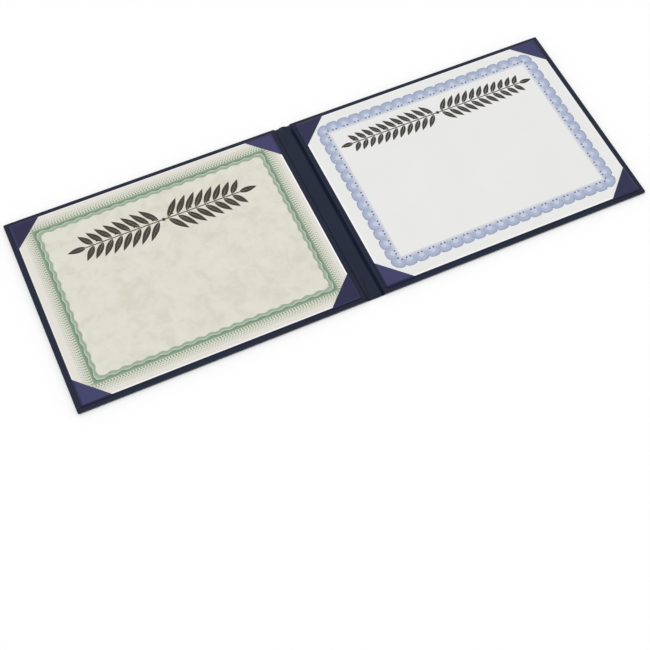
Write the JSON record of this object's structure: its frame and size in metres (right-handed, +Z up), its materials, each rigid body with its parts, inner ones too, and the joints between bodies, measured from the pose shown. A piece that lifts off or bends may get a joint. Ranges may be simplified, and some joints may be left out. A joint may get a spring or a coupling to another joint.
{
  "type": "award binder",
  "caption": "Padded leatherette binder that folds at a narrow spine, with a bordered paper sheet held by satin corner ribbons inside each cover.",
  "frame": {"origin": "on the ground under the middle of the spine, which is the middle of the open binder's base", "axes": "+X along the open binder to the back cover, +Y away from the reader, +Z up out of the sheets"},
  "size_m": [0.6008, 0.2266, 0.0052],
  "materials": {
    "leatherette": "navy leatherette with a fine grain, soft sheen",
    "foam_pad": "soft foam, pale",
    "greyboard": "plain grey board",
    "liner_cloth": "navy book cloth over card, matte",
    "white_paper": "stiff white paper, matte",
    "parchment_paper": "stiff mottled parchment paper, matte",
    "blue_print": "pale blue ink on paper",
    "green_print": "sage green ink on paper",
    "black_print": "dark ink on paper",
    "satin_ribbon": "dark violet blue satin with a directional sheen"
  },
  "bodies": {
    "back_cover": {"back_wrap": "leatherette", "back_pad": "foam_pad", "back_board": "greyboard", "back_liner": "liner_cloth", "back_sheet": "white_paper", "back_sheet_border": "blue_print", "back_sheet_laurel": "black_print", "back_ribbon_far_outer": "satin_ribbon", "back_ribbon_near_outer": "satin_ribbon", "back_ribbon_far_spine": "satin_ribbon", "back_ribbon_near_spine": "satin_ribbon"},
    "spine": {"spine_wrap": "leatherette", "spine_card": "greyboard", "spine_lining": "leatherette"},
    "front_cover": {"front_wrap": "leatherette", "front_pad": "foam_pad", "front_board": "greyboard", "front_liner": "liner_cloth", "front_sheet": "parchment_paper", "front_sheet_border": "green_print", "front_sheet_laurel": "black_print", "front_ribbon_far_outer": "satin_ribbon", "front_ribbon_near_outer": "satin_ribbon", "front_ribbon_far_spine": "satin_ribbon", "front_ribbon_near_spine": "satin_ribbon"}
  },
  "joints": [
    {"name": "back_fold", "type": "hinge", "parent": "back_cover", "child": "spine", "pos_m": [0.0062, 0, 0.001], "axis": [0, 1, 0], "range_deg": [0, 90]},
    {"name": "front_fold", "type": "hinge", "parent": "spine", "child": "front_cover", "pos_m": [-0.0062, 0, 0.001], "axis": [0, 1, 0], "range_deg": [0, 90]}
  ]
}
